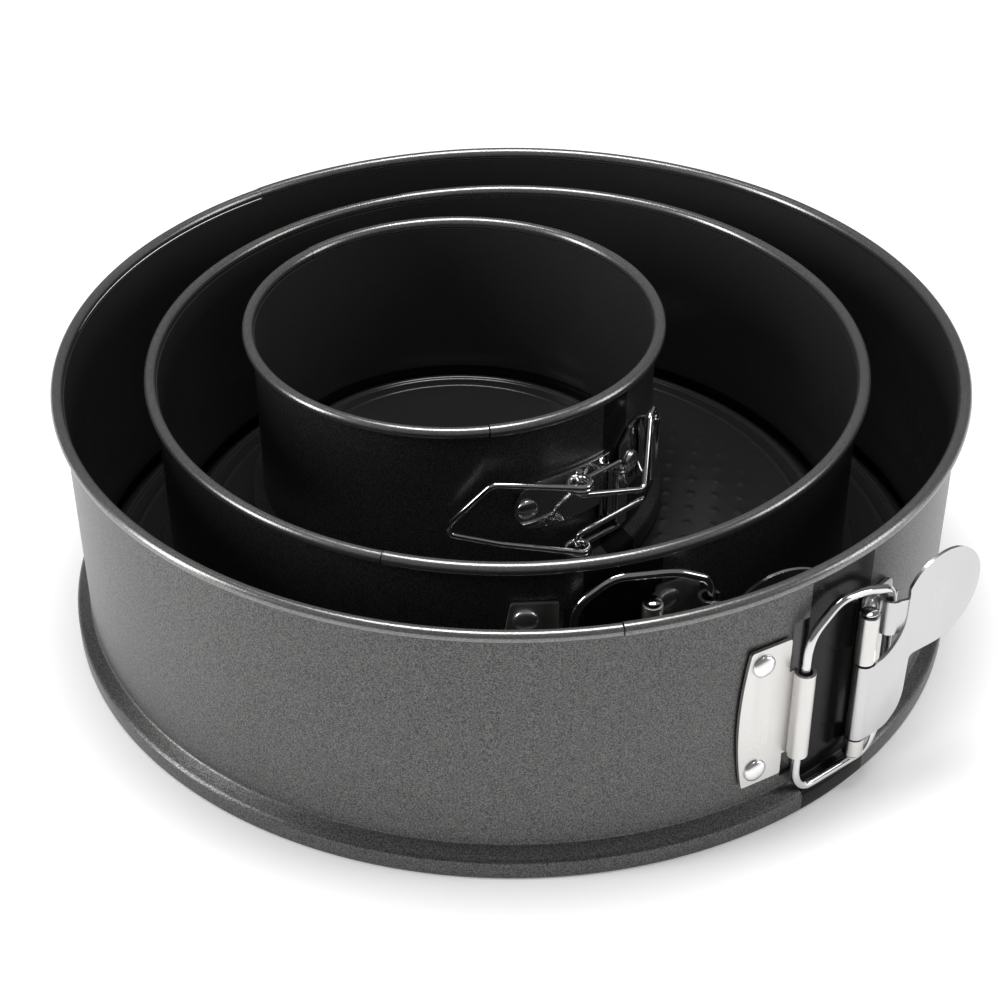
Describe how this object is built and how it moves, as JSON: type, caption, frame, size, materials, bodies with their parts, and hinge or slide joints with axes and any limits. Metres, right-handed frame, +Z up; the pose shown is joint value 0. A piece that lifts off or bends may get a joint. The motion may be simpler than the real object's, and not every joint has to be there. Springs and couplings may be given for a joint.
{
  "type": "springform pan set",
  "caption": "Nested round springform cake pans in dark coated steel, with loose base plates held in a channel and over-centre latches on the side.",
  "frame": {"origin": "centre of the large pan's underside, on the surface that it stands on", "axes": "+Z up along the pans' axes; -Y towards the front, with the large latch at the front right; +X to the right"},
  "size_m": [0.2387, 0.2385, 0.0724],
  "materials": {
    "coated_band": "dark grey non-stick coating with fine metallic flecks, satin",
    "coated_base": "near-black non-stick coating, semi-gloss",
    "bracket_steel": "satin nickel plating",
    "latch_chrome": "bright chrome plating"
  },
  "bodies": {
    "large_pan": {"large_band_left": "coated_band", "large_base_plate": "coated_base", "large_bail_bracket": "bracket_steel", "large_bail_rivet_lower": "bracket_steel", "large_bail_rivet_upper": "bracket_steel"},
    "large_half": {"large_band_right": "coated_band", "large_hinge_bracket": "bracket_steel", "large_hinge_rivet_lower": "bracket_steel", "large_hinge_rivet_upper": "bracket_steel", "large_hinge_pin": "latch_chrome"},
    "large_lever": {"large_lever": "latch_chrome"},
    "large_bail": {"large_bail": "latch_chrome"},
    "mid_pan": {"mid_band": "coated_band", "mid_base_plate": "coated_base", "mid_bail_bracket": "bracket_steel", "mid_bail_rivet_lower": "bracket_steel", "mid_bail_rivet_upper": "bracket_steel", "mid_hinge_bracket": "bracket_steel", "mid_hinge_rivet_lower": "bracket_steel", "mid_hinge_rivet_upper": "bracket_steel", "mid_hinge_pin": "latch_chrome", "mid_lever": "latch_chrome", "mid_bail": "latch_chrome"},
    "small_pan": {"small_band_left": "coated_band", "small_base_plate": "coated_base", "small_strap_bracket": "latch_chrome", "small_strap_rivet": "bracket_steel"},
    "small_half": {"small_band_right": "coated_band", "small_hook_bracket": "latch_chrome", "small_hook_rivet": "bracket_steel"},
    "small_handle": {"small_handle": "latch_chrome"},
    "small_link": {"small_link": "latch_chrome"}
  },
  "joints": [
    {"name": "large_lever_swing", "type": "hinge", "parent": "large_half", "child": "large_lever", "pos_m": [0.08277, -0.08661, 0.04], "axis": [0, 0, -1], "range_deg": [0, 110]},
    {"name": "large_band_spread", "type": "hinge", "parent": "large_pan", "child": "large_half", "pos_m": [-0.07397, 0.0891, 0.04], "axis": [0, 0, 1], "range_deg": [0, 2.11]},
    {"name": "large_bail_swing", "type": "hinge", "parent": "large_pan", "child": "large_bail", "pos_m": [0.06729, -0.09754, 0.04], "axis": [0, 0, -1], "range_deg": [0, 18.89]},
    {"name": "mid_lift", "type": "slide", "parent": "large_pan", "child": "mid_pan", "axis": [0, 0, 1], "range_m": [0, 0.08]},
    {"name": "small_lift", "type": "slide", "parent": "mid_pan", "child": "small_pan", "axis": [0, 0, 1], "range_m": [0, 0.08]},
    {"name": "small_handle_swing", "type": "hinge", "parent": "small_pan", "child": "small_handle", "pos_m": [0.0288, -0.01463, 0.04], "axis": [0, 0, 1], "range_deg": [0, 60]},
    {"name": "small_band_spread", "type": "hinge", "parent": "small_pan", "child": "small_half", "pos_m": [-0.05706, 0.06001, 0.04], "axis": [0, 0, 1], "range_deg": [0, 2.22]},
    {"name": "small_link_swing", "type": "hinge", "parent": "small_half", "child": "small_link", "pos_m": [0.03784, -0.0016, 0.04], "axis": [0, 0, 1], "range_deg": [0, 26.77]}
  ],
  "couplings": [
    {"joint": "large_band_spread", "follows": "large_lever_swing", "ratio": 0.019202},
    {"joint": "large_bail_swing", "follows": "large_lever_swing", "ratio": 0.17166},
    {"joint": "small_band_spread", "follows": "small_handle_swing", "ratio": 0.037062},
    {"joint": "small_link_swing", "follows": "small_handle_swing", "ratio": 0.4462}
  ]
}
